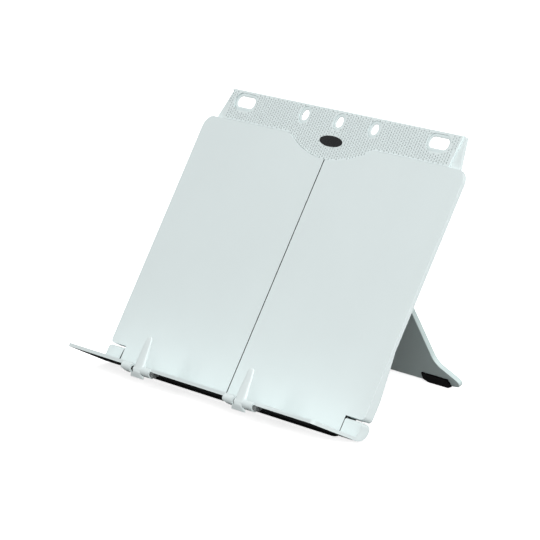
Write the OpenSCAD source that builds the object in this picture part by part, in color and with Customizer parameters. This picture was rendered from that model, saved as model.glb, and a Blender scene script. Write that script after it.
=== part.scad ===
// Folding desk stand that holds an open book or loose sheets at a reading angle.
// Millimetres. +X is the reader's right, +Y goes to the back and +Z is up.
// The origin is on the desk, under the middle of the front foot.
// Most shapes are drawn upright in the panel's own frame, where y = 0 is the
// front face of the panel, +Y goes into it and +Z runs up it. The whole is then leaned back.

/* [Stand] */
// Angle that the panel leans back from upright
lean = 28; // [15:1:40]
// Angle that the open leg slopes from upright
leg_lean = 28; // [15:1:40]
// Height of the panel's lower reference line above the desk
face_rise = 6.6; // [4:0.1:12]
// Distance from the front foot's middle forward to that line
foot_set = 1.6; // [0:0.1:4]

/* [Front panels] */
// Width over both front panels
panel_w = 300; // [240:1:340]
// Height of the front panels
panel_h = 184; // [150:1:240]
// Height below which the panels are set back behind the ledge's inner edge
hem_z = -2.1; // [-2.2:0.1:-1]
// Depth of that set-back
hem_set = 0.4; // [0.2:0.1:0.8]
// Thickness of the front panels
panel_t = 2; // [1.5:0.1:3]
// Radius of the upper outer corners
corner_r = 9; // [3:0.5:20]
// Width of the seam between the two panels
seam_w = 0.5; // [0.2:0.1:1]
// Half width of the shallow arc in the top edge
arc_half = 48; // [20:1:80]
// Depth of the shallow arc
arc_depth = 13; // [4:0.5:20]
// Radius that blends the arc into the top edge
arc_blend = 12; // [4:1:20]
// Thickness of the turned side wall
wall_t = 2; // [1.5:0.1:3]
// Depth of the side wall in its upper part
wall_thin = 2.7; // [2.2:0.1:5]
// Depth of the side wall at the bottom
wall_deep = 7; // [5:0.1:9]
// Height where the side wall starts to deepen
flare_top = 58; // [40:1:90]
// Height where the side wall has its full depth
flare_low = 25; // [15:1:40]
// Radius of the screw bosses behind the panels
boss_r = 3.2; // [2.5:0.1:4]
// Depth of the end of the screw bosses
boss_end = 6; // [4:0.1:7]

/* [Rear shell] */
// Depth from the front face to the rear face
shell_back = 9.3; // [8:0.1:14]
// Width of the bevel round the rear face
shell_bevel = 9.8; // [6:0.1:16]
// Height over which the rear face slopes in towards the top tab
shell_slope = 12; // [6:1:30]
// Thickness of the shell behind its hollow bays
skin_t = 2; // [1.2:0.1:3]
// Depth of the recess floor that the folded leg lies against
recess_floor = 5.8; // [5:0.1:7]
// Depth of the rear edge of the top tab
tab_back = 4.2; // [3.6:0.1:6]
// Height of the top of the tab
tab_top = 206; // [190:1:260]
// Half width of the tab at its top
tab_half_top = 131.2; // [90:0.1:150]
// Half width of the tab where it leaves the panels
tab_half_low = 139.5; // [100:0.5:150]
// Radius of the tab's upper corners
tab_corner = 2; // [1:0.5:6]
// Thickness of the tab's thin middle
tab_skin = 0.9; // [0.8:0.1:2]
// Thickness of the tab's rim
tab_rim = 1.6; // [1:0.1:3]

/* [Header plate] */
// Half width of the textured header plate
header_half = 130; // [90:1:140]
// Height of the top of the header plate
header_top = 205.4; // [188:0.1:258]
// Radius of the header plate's upper corners
header_corner = 1.5; // [0.5:0.5:5]
// Depth of the header's front surface behind the panels' face
header_set = 1; // [0.4:0.1:1.5]
// Height of the middle of the holes and slots
hole_z = 197.4; // [190:0.1:240]
// Distance between the round holes
hole_pitch = 40; // [30:0.5:60]
// Radius of the round holes
hole_r = 4; // [3:0.1:6]
// Distance from the middle to each end slot
slot_x = 111; // [90:0.5:125]
// Length of the end slots
slot_l = 21.5; // [12:0.5:30]
// Width of the end slots
slot_w = 8.4; // [6:0.1:10]
// Margin that the plate leaves round each hole and slot
hole_margin = 2.1; // [1:0.1:3]
// Half length of the blank oval
oval_half = 12.8; // [8:0.1:20]
// Half height of the blank oval
oval_rise = 3.9; // [2:0.1:8]
// Depth of the oval's front behind the panels' face
oval_set = 0.2; // [0.1:0.1:0.6]
// Height of the middle of the oval
oval_z = 184.2; // [175:0.1:200]

/* [Ledge] */
// Angle that the ledge falls below square to the panel
ledge_sag = 3; // [0:0.5:8]
// Depth of the ledge's pivot behind the panel's face
ledge_pivot_y = 4; // [3:0.1:6]
// Height of the ledge's pivot
ledge_pivot_z = 4.4; // [3:0.1:6]
// Distance of the ledge's top surface below its pivot
ledge_drop = 6.6; // [5:0.1:9]
// Thickness of the ledge
ledge_t = 2.4; // [1.8:0.1:4]
// Distance of the ledge's inner edge from its pivot
ledge_inner = 5; // [4.5:0.1:7]
// Reach of the ledge from its pivot
ledge_reach = 39.4; // [25:0.1:60]
// Half width of the ledge at its front edge
ledge_front_half = 147; // [110:0.5:165]
// Radius of the ledge's front corners
ledge_corner = 3.5; // [1:0.5:10]
// Distance from the middle to the inner side of each end ear
ear_in = 132; // [100:0.5:150]
// Radius of the rounded underside of each end ear
ear_r = 7.8; // [6:0.1:10]
// Height of the middle of that rounding
ear_mid = 3; // [1:0.1:5]
// Height of the top of each end ear
ear_top = 7.9; // [6:0.1:10]
// Radius of the ear's front top edge
ear_edge = 1.8; // [0.5:0.1:3]
// Radius of the ear's outer top corner
ear_corner = 2.5; // [0.5:0.1:4]
// Height of the panels' corner notches over the ears
notch_z = 9.3; // [8:0.1:12]
// Radius of the panels' corners over the notches
notch_corner = 3; // [1:0.5:6]

/* [Page fingers] */
// Distance from the middle to each page finger
finger_x = 61.3; // [40:0.1:90]
// Distance of the finger's axis from the ledge's pivot, outwards
finger_out = 37.4; // [24:0.1:58]
// Distance of the finger's axis below the ledge's pivot
finger_down = 9.9; // [8:0.1:12]
// Radius of the barrels round the finger's axis
barrel_r = 3.3; // [2.6:0.1:4]
// Distance from a finger's middle to its lugs
lug_in = 4.8; // [3:0.1:6]
// Distance from a finger's middle to the outer ends of its lugs
lug_out = 13.6; // [9:0.1:20]
// Radius of the small boss that closes each pin's right end
boss_pin_r = 2; // [1.8:0.1:2.6]
// Length of that boss
boss_pin_l = 3.6; // [2:0.1:6]
// Half width of the notch in the ledge behind a finger
clear_half = 7; // [5:0.1:9]
// Depth of that notch from the ledge's front edge
clear_depth = 12.4; // [8:0.1:16]
// Height of the fingertip above its axis
finger_h = 23.3; // [15:0.1:35]
// Half width of the finger where it leaves its hub
blade_low = 3.1; // [2:0.1:4]
// Half width of the finger at its tip
blade_tip = 2.3; // [1.5:0.1:4]
// Half width of the hub
hub_half = 4.4; // [3:0.1:5]
// Reach of the thumb tab below the finger's axis
tab_reach = 5.3; // [4:0.1:5.5]
// Half width of the thumb tab's end
tab_half = 6.4; // [4:0.1:6.6]

/* [Leg] */
// Depth of the leg's pivot behind the panel's face
leg_pivot_y = 9; // [8.5:0.1:12]
// Height of the leg's pivot
leg_pivot_z = 150; // [110:1:165]
// Half width of the leg
leg_half = 48.8; // [30:0.1:60]
// Thickness of the leg
leg_t = 3.5; // [2.5:0.1:5]
// Distance from the pivot down to where the leg starts to flare
flare_s = 126; // [90:1:140]
// Radius of the concave blend into the flare
flare_r = 11; // [6:0.5:20]
// Angle of the flare's edge from the leg's length
flare_turn = 58; // [30:1:80]
// Distance from the pivot down to the tips of the flared foot
foot_s = 145.6; // [110:0.1:160]
// Half width over the middles of the rounded tips
foot_half = 64.2; // [50:0.1:80]
// Radius of the rounded tips
foot_r = 3.2; // [1:0.1:5]
// Length of the heel that stops the open leg
heel = 7.3; // [5:0.1:9]
// Gap left between the folded leg and the sides of its recess
leg_gap = 1.2; // [0.6:0.1:3]
// Height of the leg's lower edge above the desk
leg_clear = 1.3; // [0.8:0.1:3]

/* [Rubber feet] */
// Half length of the front foot
strip_half = 125; // [80:1:140]
// Width of the front foot
strip_w = 5.2; // [4:0.1:6]
// Height of the front foot
strip_h = 2.2; // [1.5:0.1:4]
// Distance from the middle to each leg foot
pad_x = 42; // [25:0.5:55]
// Half width of a leg foot at its top
pad_half = 14.5; // [6:0.5:20]
// Height of a leg foot up the leg
pad_rise = 9.2; // [5:0.1:14]
// Half width of the part of a leg foot that touches the desk
pad_sole = 7.4; // [4:0.1:14]
// Thickness of a leg foot on the leg's front
pad_t = 1; // [0.6:0.1:2]

/* [Pins and screws] */
// Radius of the ledge pins and of the leg's pin
pin_r = 1.5; // [1:0.1:2]
// Radius of the finger pins
finger_pin_r = 1.2; // [0.8:0.1:1.6]
// Radial play where a pin turns
play = 0.05; // [0.02:0.01:0.08]
// Radial play where a pin is held still
hold = 0.02; // [0.01:0.01:0.05]
// Radius of a screw's head
head_r = 2.7; // [2:0.1:3.5]
// Radius of a screw's shank
shank_r = 1.4; // [1:0.1:1.8]

/* [Hidden] */
eps = 0.01;
far = 400;
skirt = 14;
fine = 384;
round_fn = 48;
small_fn = 32;
fit_gap = 0.2;
half_w = panel_w / 2;
shell_half = half_w - wall_t - fit_gap;
shell_top = panel_h - wall_t - fit_gap;
rear_half = shell_half - shell_bevel;
// The arc is one circle, and its blends touch both it and the top edge
arc_r = (arc_half * arc_half + arc_depth * arc_depth) / (2 * arc_depth);
arc_z = panel_h - arc_depth + arc_r;
blend_z = panel_h - arc_blend;
blend_x = sqrt(pow(arc_r + arc_blend, 2) - pow(arc_z - blend_z, 2));
oval_points = 64;
tab_root = 8;
notch_x = ear_in - 2 * fit_gap;
// Place of the finger's axis in the panel's frame
finger_y = ledge_pivot_y - finger_out * cos(ledge_sag) + finger_down * sin(ledge_sag);
finger_z = ledge_pivot_z - finger_out * sin(ledge_sag) - finger_down * cos(ledge_sag);
ledge_under = ledge_drop + ledge_t;
ear_root = 3.2;
ear_reach = 12;
bore_end = 143.5;
pin_in = 118;
pin_gap = 0.5;
lug_taper = 9.5;
lug_wall = 0.6;
gusset_in = 30.5;
// Points of the thumb tab's flank and of the finger's side profile, as depth and height
tab_flank = [[hub_half, -2.8], [hub_half + 0.5, -3.8], [tab_half, -tab_reach]];
finger_back = [[0.9, finger_h], [1.5, 3], [1.5, 0], [0.9, -3.3], [0.7, -tab_reach]];
finger_fore = [[-2.3, -tab_reach], [-2.9, -3.6], [-3.2, -1], [-2.8, 2], [-1.9, 7], [-1, finger_h]];
// The leg folds flat through the sum of both angles
fold = lean + leg_lean;
pocket_floor = 3.9;
pocket_half = leg_half + 0.5;
pocket_drop = 5;
pocket_rise = 8.5;
stop_gap = 0.05;
cheek_r = 4.2;
cheek_w = 8;
cheek_half = pocket_half + cheek_w;
screw_spots = [[22, 166.5], [124, 166.5], [100, 24]];
screw_floor = 7.3;
head_set = 0.4;
cross_l = 3;
cross_w = 0.6;
bay_in = 72;
bay_out = 134;
bay_low = 40;
bay_high = 156;
bay_rows = 4;
bay_cols = 2;
bay_rib = 2;
bay_w = (bay_out - bay_in - bay_rib * (bay_cols - 1)) / bay_cols;
bay_h = (bay_high - bay_low - bay_rib * (bay_rows - 1)) / bay_rows;
core_depth = 2;
core_rim = 4;
core_rib = 3;
core_cols = 3;
core_start = 12;
core_end = 122;
core_w = (2 * (leg_half - core_rim) - core_rib * (core_cols - 1)) / core_cols;
sole_bow = 30;
sole_rise = 1.5;
leg_length = (face_rise + leg_pivot_z * cos(lean) - leg_pivot_y * sin(lean)) / cos(leg_lean);
pad_bulge = 1.5;
pad_shoulder = 3.4;
plastic = [0.86, 0.885, 0.88];
header_tone = [0.84, 0.865, 0.86];
leg_tone = [0.8, 0.83, 0.825];
black = [0.05, 0.05, 0.055];
rubber = [0.04, 0.04, 0.042];
steel = [0.72, 0.73, 0.75];

// Frames of the panel, the ledge, a finger and the leg

module on_panel() {
  translate([0, -foot_set, face_rise]) rotate([-lean, 0, 0]) children();
}

module on_ledge() {
  on_panel() translate([0, ledge_pivot_y, ledge_pivot_z]) rotate([ledge_sag, 0, 0]) children();
}

module on_finger(side) {
  on_panel() translate([side * finger_x, finger_y, finger_z]) children();
}

module on_leg() {
  on_panel() translate([0, leg_pivot_y, leg_pivot_z]) rotate([fold, 0, 0]) children();
}

// Helpers that draw a profile along x or y, a rod, a stadium and both sides at once

module along_x(x0, x1) {
  translate([x0, 0, 0]) rotate([90, 0, 90]) linear_extrude(x1 - x0) children();
}

module along_y(y0, y1) {
  translate([0, y1, 0]) rotate([90, 0, 0]) linear_extrude(y1 - y0) children();
}

module rod_x(x0, x1, r) {
  translate([x0, 0, 0]) rotate([0, 90, 0]) cylinder(h = x1 - x0, r = r, $fn = round_fn);
}

module rod_y(y0, y1, r) {
  translate([0, y1, 0]) rotate([90, 0, 0]) cylinder(h = y1 - y0, r = r, $fn = round_fn);
}

module stadium(l, w) {
  square([l - w, w], center = true);
  for (s = [-1, 1]) translate([s * (l - w) / 2, 0]) circle(d = w, $fn = round_fn);
}

module both_sides() {
  for (s = [0, 1]) mirror([s, 0, 0]) children();
}

module below(h) {
  translate([-far / 2, -far / 2, h - far]) cube(far);
}

// Outlines of the front panels

module rounded_top(half, top, r) {
  translate([-half, -skirt]) square([2 * half, skirt + top - r]);
  translate([r - half, -skirt]) square([2 * (half - r), skirt + top]);
  for (s = [-1, 1]) translate([s * (half - r), top - r]) circle(r, $fn = round_fn);
}

module thumb_arc(grow) {
  r = arc_r - grow;
  touch = r / (arc_r + arc_blend);
  difference() {
    union() {
      intersection() {
        translate([0, arc_z]) circle(r, $fn = fine);
        translate([-blend_x, panel_h - 2 * arc_depth]) square([2 * blend_x, 3 * arc_depth]);
      }
      for (s = [-1, 1]) polygon([[0, panel_h + arc_depth], [s * blend_x, panel_h + arc_depth],
        [s * blend_x, panel_h + grow], [s * blend_x * touch, arc_z + (blend_z - arc_z) * touch],
        [0, panel_h - arc_depth / 2]]);
    }
    for (s = [-1, 1]) translate([s * blend_x, blend_z]) circle(arc_blend + grow, $fn = fine);
  }
}

module corner_notch() {
  translate([notch_x, -2 * skirt]) square([far, 2 * skirt + notch_z]);
  difference() {
    translate([half_w - notch_corner, notch_z - 1]) square(notch_corner + 1);
    translate([half_w - notch_corner, notch_z + notch_corner]) circle(notch_corner, $fn = small_fn);
  }
}

module panel_face(grow = 0) {
  difference() {
    rounded_top(half_w + grow, panel_h + grow, corner_r + grow);
    thumb_arc(grow);
    both_sides() corner_notch();
  }
}

// Side profile that the side wall and the shell's edge share

module edge_profile() {
  polygon([[0, -skirt], [wall_deep, -skirt], [wall_deep, flare_low], [wall_thin, flare_top],
           [wall_thin, tab_top], [0, tab_top]]);
}

// Leg outline in its own frame, with z measured up from the pivot

module leg_outline(grow = 0) {
  blend = [leg_half + flare_r, -flare_s];
  run = [cos(flare_turn), sin(flare_turn)];
  start = blend - (flare_r - grow) * run;
  tip = [foot_half, -foot_s];
  both_sides() {
    translate([0, start[1]]) square([leg_half + grow, heel - start[1]]);
    difference() {
      polygon([[0, -flare_s], blend, start, [0, start[1]]]);
      translate(blend) circle(flare_r - grow, $fn = round_fn);
    }
    polygon([[0, start[1]], start, tip + (foot_r + grow) * run, tip, tip - [0, foot_r + grow],
             [sole_bow, -leg_length - grow], [0, -leg_length - grow - 1]]);
    translate(tip) circle(foot_r + grow, $fn = small_fn);
  }
}

// Rear shell, with the tab, the leg's recess and its hinge cheeks

module shell_block() {
  intersection() {
    along_y(panel_t, shell_back) rounded_top(shell_half, shell_top, corner_r - wall_t);
    union() {
      intersection() {
        translate([0, 0, -skirt]) linear_extrude(skirt + tab_top)
          polygon([[-shell_half, 0], [shell_half, 0], [shell_half, wall_thin], [rear_half, shell_back],
                   [-rear_half, shell_back], [-shell_half, wall_thin]]);
        along_x(-shell_half, shell_half)
          polygon([[0, -skirt], [shell_back, -skirt], [shell_back, panel_h - shell_slope],
                   [tab_back, panel_h], [0, panel_h]]);
      }
      along_x(-shell_half, shell_half) edge_profile();
    }
  }
}

module tab_outline(inset = 0) {
  corner = [tab_half_top - tab_corner, tab_top - tab_corner];
  low = inset > 0 ? panel_h + inset : panel_h - tab_root;
  both_sides() {
    polygon([[0, low], [tab_half_low - inset, low], [tab_half_low - inset, max(low, panel_h)],
             [tab_half_top - inset, corner[1]], [corner[0], tab_top - inset], [0, tab_top - inset]]);
    translate(corner) circle(max(tab_corner - inset, eps), $fn = small_fn);
  }
}

module tab_openings(margin) {
  for (i = [-1, 0, 1]) translate([i * hole_pitch, 0, hole_z])
    rod_y(0, shell_back, hole_r + margin);
  both_sides() along_y(0, shell_back) translate([slot_x, hole_z])
    stadium(slot_l + 2 * margin, slot_w + 2 * margin);
}

module bays() {
  both_sides() for (i = [0:bay_cols - 1]) for (j = [0:bay_rows - 1])
    translate([bay_in + i * (bay_w + bay_rib), 0, bay_low + j * (bay_h + bay_rib)])
      cube([bay_w, shell_back - skin_t, bay_h]);
}

module hinge_cheeks() {
  both_sides() {
    translate([0, leg_pivot_y, leg_pivot_z]) rod_x(pocket_half, cheek_half, cheek_r);
    translate([pocket_half, recess_floor, leg_pivot_z - cheek_r])
      cube([cheek_w, leg_pivot_y - recess_floor, 2 * cheek_r]);
  }
}

module leg_space() {
  translate([0, 0, leg_pivot_z]) along_y(recess_floor, far) intersection() {
    leg_outline(leg_gap);
    translate([-far / 2, -far]) square([far, far - pocket_drop + eps]);
  }
  along_y(recess_floor, far) translate([-foot_half - foot_r - leg_gap, -skirt])
    square([2 * (foot_half + foot_r + leg_gap), skirt + leg_pivot_z - foot_s]);
  translate([-pocket_half, pocket_floor, leg_pivot_z - pocket_drop])
    cube([2 * pocket_half, far, pocket_drop + pocket_rise]);
}

module screw_places() {
  both_sides() for (p = screw_spots) translate([p[0], 0, p[1]]) children();
}

module back_shell() {
  color(plastic) difference() {
    on_panel() difference() {
      union() {
        shell_block();
        along_y(panel_t, tab_back) tab_outline();
        hinge_cheeks();
      }
      leg_space();
      bays();
      along_y(panel_t + tab_skin, far) tab_outline(tab_rim);
      tab_openings(0);
      along_y(0, far) both_sides() corner_notch();
      screw_places() {
        rod_y(0, boss_end + fit_gap, boss_r + fit_gap);
        rod_y(0, far, shank_r + fit_gap);
        rod_y(screw_floor, far, head_r + fit_gap);
      }
      translate([0, leg_pivot_y, leg_pivot_z]) rod_x(-cheek_half - 1, cheek_half + 1, pin_r + hold);
      both_sides() translate([0, ledge_pivot_y, ledge_pivot_z])
        rod_x(pin_in - pin_gap, ear_in, pin_r + hold);
    }
    below(strip_h);
  }
}

// Header plate, with larger openings round the holes in the tab

module header_plate() {
  low = panel_h - 2 * arc_depth;
  color(header_tone) on_panel() difference() {
    along_y(header_set, panel_t) difference() {
      translate([-header_half, low]) square([2 * header_half, header_top - low]);
      panel_face(fit_gap);
      both_sides() difference() {
        translate([header_half - header_corner, header_top - header_corner]) square(far);
        translate([header_half - header_corner, header_top - header_corner])
          circle(header_corner, $fn = small_fn);
      }
    }
    tab_openings(hole_margin);
  }
}

// Right front panel, with its turned side wall and screw bosses

module panel_half() {
  difference() {
    union() {
      intersection() {
        along_y(0, panel_t) panel_face();
        translate([seam_w / 2, 0, -far / 2]) cube(far);
      }
      intersection() {
        along_y(0, wall_deep) difference() {
          panel_face();
          panel_face(-wall_t);
        }
        along_x(tab_half_low + fit_gap, half_w) edge_profile();
      }
      for (p = screw_spots) translate([p[0], 0, p[1]]) rod_y(panel_t - eps, boss_end, boss_r);
    }
    for (p = screw_spots) translate([p[0], 0, p[1]]) rod_y(panel_t, far, shank_r + hold);
    translate([0, hem_set - far, hem_z - far]) cube(far);
  }
}

module front_panel_left() {
  color(plastic) difference() {
    on_panel() mirror([1, 0, 0]) panel_half();
    below(strip_h);
  }
}

module front_panel_right() {
  color(plastic) difference() {
    on_panel() panel_half();
    below(strip_h);
  }
}

// Blank oval, an ellipse

module oval_badge() {
  color(black) on_panel() translate([0, 0, oval_z]) along_y(oval_set, header_set)
    polygon([for (i = [0:oval_points - 1])
      [oval_half * cos(i * 360 / oval_points), oval_rise * sin(i * 360 / oval_points)]]);
}

module panel_screws() {
  head_end = shell_back - head_set;
  color(steel) on_panel() screw_places() difference() {
    union() {
      rod_y(panel_t + head_set, screw_floor + fit_gap, shank_r);
      rod_y(screw_floor, head_end, head_r);
    }
    for (turn = [0, 90]) rotate([0, turn, 0])
      translate([-cross_l / 2, head_end - cross_w, -cross_w / 2]) cube([cross_l, 1, cross_w]);
  }
}

// Rubber foot under the panel, flat on the desk

module front_foot_strip() {
  color(rubber) linear_extrude(strip_h) stadium(2 * strip_half, strip_w);
}

// Ledge, with end ears that take its pins and lugs that take the fingers

module ear_profile() {
  intersection() {
    translate([0, ear_mid]) circle(ear_r, $fn = fine);
    union() {
      translate([0, -far]) square([far, far + ear_top - ear_edge]);
      translate([ear_edge, -far]) square([far, far + ear_top]);
      translate([ear_edge, ear_top - ear_edge]) circle(ear_edge, $fn = small_fn);
    }
  }
}

module end_ear() {
  intersection() {
    along_x(ear_in, half_w) ear_profile();
    along_y(-far, far) {
      translate([ear_in, -far]) square([half_w - ear_in, far + ear_top - ear_corner]);
      translate([ear_in, -far]) square([half_w - ear_in - ear_corner, far + ear_top]);
      translate([half_w - ear_corner, ear_top - ear_corner]) circle(ear_corner, $fn = small_fn);
    }
  }
}

module ledge_plan() {
  corner = [ledge_front_half - ledge_corner, ledge_corner - ledge_reach];
  both_sides() difference() {
    union() {
      polygon([[0, -ledge_inner], [ear_in, -ledge_inner], [ear_in, -ear_root], [half_w, -ear_root],
               [half_w, -ear_reach], [ledge_front_half, corner[1]], [corner[0], -ledge_reach],
               [0, -ledge_reach]]);
      translate(corner) circle(ledge_corner, $fn = small_fn);
    }
    translate([finger_x - clear_half, -ledge_reach - eps]) square([2 * clear_half, clear_depth + eps]);
  }
}

module finger_lug() {
  under = -finger_down - barrel_r;
  intersection() {
    union() {
      translate([0, -finger_out, -finger_down]) rod_x(lug_in, lug_out, barrel_r);
      along_x(clear_half, lug_out) polygon([[-finger_out, under], [-gusset_in, eps - ledge_under],
        [-gusset_in, eps - ledge_drop - ledge_t / 2], [-finger_out, eps - ledge_drop - ledge_t / 2]]);
    }
    along_y(-far, far) polygon([[lug_in, under], [lug_taper, under],
      [lug_out, -finger_down - finger_pin_r - play - lug_wall], [lug_out, 0], [lug_in, 0]]);
  }
}

module ledge() {
  color(plastic) difference() {
    union() {
      on_ledge() {
        translate([0, 0, -ledge_under]) linear_extrude(ledge_t) ledge_plan();
        for (s = [-1, 1]) translate([s * finger_x, 0, 0]) {
          both_sides() finger_lug();
          translate([0, -finger_out, -finger_down]) rod_x(lug_out - eps, lug_out + boss_pin_l, boss_pin_r);
        }
      }
      on_panel() both_sides() end_ear();
    }
    on_panel() both_sides() translate([0, ledge_pivot_y, ledge_pivot_z])
      rod_x(0, bore_end, pin_r + play);
    for (s = [-1, 1]) on_finger(s) rod_x(-lug_out - eps, lug_out + boss_pin_l / 2, finger_pin_r + play);
  }
}

module ledge_pin_left() {
  color(steel) on_panel() translate([0, ledge_pivot_y, ledge_pivot_z])
    rod_x(pin_gap - bore_end, -pin_in, pin_r);
}

module ledge_pin_right() {
  color(steel) on_panel() translate([0, ledge_pivot_y, ledge_pivot_z])
    rod_x(pin_in, bore_end - pin_gap, pin_r);
}

// Page finger with its hub and thumb tab

module finger_front() {
  tip_z = finger_h - blade_tip;
  both_sides() polygon(concat([[0, tip_z], [blade_tip, tip_z], [blade_low, barrel_r], [hub_half, 1]],
                              tab_flank, [[0, -tab_reach]]));
  translate([0, tip_z]) circle(blade_tip, $fn = round_fn);
}

module page_finger(side) {
  color(plastic) on_finger(side) difference() {
    union() {
      intersection() {
        along_y(-far, far) finger_front();
        along_x(-tab_half, tab_half) polygon(concat(finger_back, finger_fore));
      }
      rod_x(-hub_half, hub_half, barrel_r);
    }
    rod_x(-tab_half, tab_half, finger_pin_r + play);
  }
}

module page_finger_left() {
  page_finger(-1);
}

module page_finger_right() {
  page_finger(1);
}

module finger_pin(side) {
  color(steel) on_finger(side) rod_x(fit_gap - lug_out, lug_out + fit_gap, finger_pin_r);
}

module finger_pin_left() {
  finger_pin(-1);
}

module finger_pin_right() {
  finger_pin(1);
}

// Leg, with a cored rear side and a heel that meets the shell when the leg is open

module leg_cores() {
  for (i = [0:core_cols - 1])
    translate([core_rim - leg_half + i * (core_w + core_rib), leg_t / 2 - core_depth, -core_end])
      cube([core_w, leg_t, core_end - core_start]);
}

module leg() {
  color(leg_tone) difference() {
    on_leg() difference() {
      union() {
        along_y(-leg_t / 2, leg_t / 2) leg_outline();
        rod_x(-leg_half, leg_half, barrel_r);
      }
      leg_cores();
      rod_x(-far, far, pin_r + play);
    }
    on_panel() translate([-far / 2, pocket_floor + stop_gap - far, 0]) cube(far);
    below(leg_clear);
  }
}

module leg_hinge_pin() {
  color(steel) on_panel() translate([0, leg_pivot_y, leg_pivot_z])
    rod_x(fit_gap - cheek_half, cheek_half - fit_gap, pin_r);
}

// Rubber foot that wraps the leg's lower edge

module leg_foot(side) {
  color(rubber) difference() {
    on_leg() translate([side * pad_x, 0, -leg_length]) along_y(-leg_t / 2 - pad_t, leg_t / 2)
      polygon([[-pad_half, pad_rise], [pad_half, pad_rise], [pad_half + pad_bulge, pad_shoulder],
               [pad_sole, 0], [pad_sole, -pad_rise], [-pad_sole, -pad_rise], [-pad_sole, 0],
               [-pad_half - pad_bulge, pad_shoulder]]);
    difference() {
      on_leg() translate([-far / 2, -leg_t / 2, -far]) cube([far, far, 2 * far]);
      below(leg_clear);
    }
    below(0);
  }
}

module leg_foot_left() {
  leg_foot(-1);
}

module leg_foot_right() {
  leg_foot(1);
}

back_shell();
header_plate();
front_panel_left();
front_panel_right();
oval_badge();
panel_screws();
front_foot_strip();
ledge();
ledge_pin_left();
ledge_pin_right();
page_finger_left();
page_finger_right();
finger_pin_left();
finger_pin_right();
leg();
leg_hinge_pin();
leg_foot_left();
leg_foot_right();
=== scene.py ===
import math

import bmesh
import bpy
from mathutils import Matrix, Vector


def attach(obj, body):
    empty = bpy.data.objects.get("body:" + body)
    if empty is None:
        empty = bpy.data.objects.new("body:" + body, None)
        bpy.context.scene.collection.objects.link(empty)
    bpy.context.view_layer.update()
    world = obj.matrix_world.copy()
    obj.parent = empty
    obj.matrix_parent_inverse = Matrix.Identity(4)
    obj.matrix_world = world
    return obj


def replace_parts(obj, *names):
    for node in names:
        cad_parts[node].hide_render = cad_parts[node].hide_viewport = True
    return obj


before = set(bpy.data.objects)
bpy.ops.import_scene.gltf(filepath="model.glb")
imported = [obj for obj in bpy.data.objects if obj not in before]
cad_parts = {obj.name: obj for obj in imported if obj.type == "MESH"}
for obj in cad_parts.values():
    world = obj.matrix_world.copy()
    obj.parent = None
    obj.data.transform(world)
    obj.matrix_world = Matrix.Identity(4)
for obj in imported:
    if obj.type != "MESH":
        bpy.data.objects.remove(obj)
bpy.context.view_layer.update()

# Sizes of the stand, in metres, with angles given in degrees
LEAN = math.radians(28)
FOOT_SET = 0.0016
FACE_RISE = 0.0066
PANEL_H = 0.184
PIN_R = 0.00125
SIDES = {-1: "left", 1: "right"}
# A hair's breadth, by which faces that would meet flush overlap or stay apart
HAIR = 0.00001

# Header, with its openings, its oval and the arc below them
HOLE_Z = 0.1986
HOLE_PITCH = 0.040
HOLE_R = 0.0062
SLOT_X = 0.111
SLOT_L = 0.0252
SLOT_W = 0.0126
HEADER_HALF = 0.1300
HEADER_TOP = 0.2063
HEADER_SET = 0.0007
HEADER_X = -0.0010
OVAL_Z = 0.1842
OVAL_HALF = 0.0128
OVAL_RISE = 0.0039
ARC_HALF = 0.048
ARC_DEPTH = 0.013
ARC_R = (ARC_HALF ** 2 + ARC_DEPTH ** 2) / (2 * ARC_DEPTH)
ARC_Z = PANEL_H - ARC_DEPTH + ARC_R

# The photograph's view
CAMERA_AT = (2.1128, -1.4415, 0.5812)
CAMERA_TURN = (math.radians(79.124), 0.0, math.radians(55.064))
CAMERA_LENS = 259.91
CAMERA_REACH = 50
SENSOR = 36.0

# Studio: the floor is white where it is seen, and the shade of the object fades into it
FLOOR_HALF = 4.0
FLOOR_TONE = 0.9
FLOOR_BOUNCE = 0.02
FLOOR_GLOW = 0.78
FLOOR_NEAR = 0.3
FLOOR_FAR = 0.9
WORLD_LIGHT = 0.29
LAMP_TARGET = (0, 0.05, 0.09)
# Each lamp's name, place, size and power
LAMPS = (("key", (3.0, -1.6, 1.5), 1.8, 97),
         ("side", (1.9, 0.35, 0.2), 0.8, 12),
         ("front", (-0.5, -1.7, 1.3), 1.3, 14.5),
         ("top", (0.2, 0.4, 2.1), 1.4, 10))


def panel_matrix(x=0.0, y=0.0, z=0.0):
    """From the panel's frame, moved to a place in it, to the row frame."""
    lean = Matrix.Rotation(-LEAN, 4, "X")
    return Matrix.Translation((0, -FOOT_SET, FACE_RISE)) @ lean @ Matrix.Translation((x, y, z))


# Meshes

# Edges past this angle stay sharp
SHARP = math.radians(50)
# Edges below this angle lie inside a flat face
FLAT = math.radians(0.4)
# Points this near to each other are one point
DOUBLE = 1e-6


def bridge(work, low, high):
    """Faces between two rings of the same number of points."""
    count = len(low)
    for i in range(count):
        work.faces.new((low[i], low[(i + 1) % count], high[(i + 1) % count], high[i]))


def loft(work, rings):
    """A closed form through rings of the same number of points."""
    for low, high in zip(rings, rings[1:]):
        bridge(work, low, high)
    work.faces.new(rings[0][::-1])
    work.faces.new(rings[-1])


def cleaned(mesh):
    """A mesh to work on, without doubled points and without edges inside flat faces."""
    work = bmesh.new()
    work.from_mesh(mesh)
    bmesh.ops.remove_doubles(work, verts=work.verts, dist=DOUBLE)
    bmesh.ops.dissolve_limit(work, angle_limit=FLAT, verts=work.verts, edges=work.edges)
    return work


def closed_mesh(work, name, matrix=None):
    """A named mesh from closed forms, moved by a matrix."""
    if matrix is not None:
        work.transform(matrix)
    bmesh.ops.recalc_face_normals(work, faces=work.faces)
    mesh = bpy.data.meshes.new(name)
    work.to_mesh(mesh)
    work.free()
    return mesh


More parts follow.
